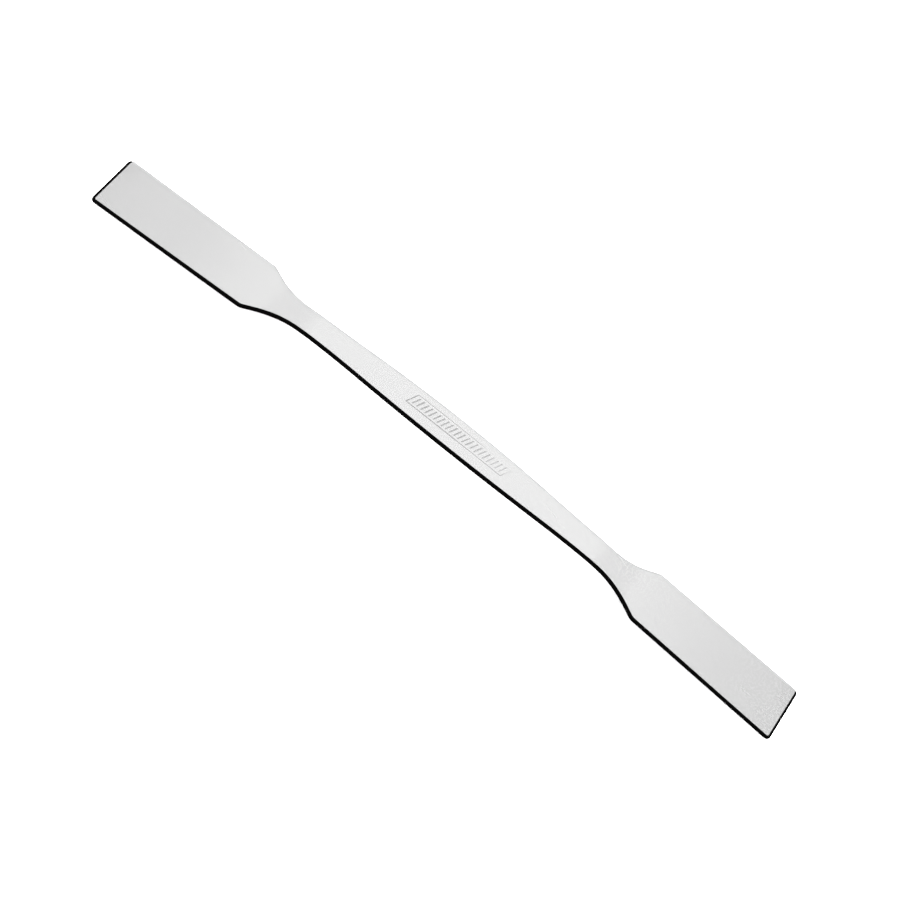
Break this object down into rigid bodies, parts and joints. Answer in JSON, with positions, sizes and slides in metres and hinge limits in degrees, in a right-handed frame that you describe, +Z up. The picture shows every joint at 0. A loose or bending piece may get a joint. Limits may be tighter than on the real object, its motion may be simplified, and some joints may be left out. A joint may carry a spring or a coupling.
{
  "type": "lab spatula",
  "caption": "Flat stainless-steel lab spatula with a rectangular blade at each end of a slim, slightly bowed handle, for scooping, scraping and spreading powders.",
  "frame": {"origin": "under mid-length and mid-width, on the plane that the two end edges rest on", "axes": "+X along the length, +Y across the blades, +Z up through the convex face of the bowed sheet"},
  "size_m": [0.1496, 0.0114, 0.0056],
  "materials": {
    "stainless_steel": "satin polished, with smooth rounded edges"
  },
  "bodies": {
    "root": {"spatula": "stainless_steel"}
  },
  "joints": []
}
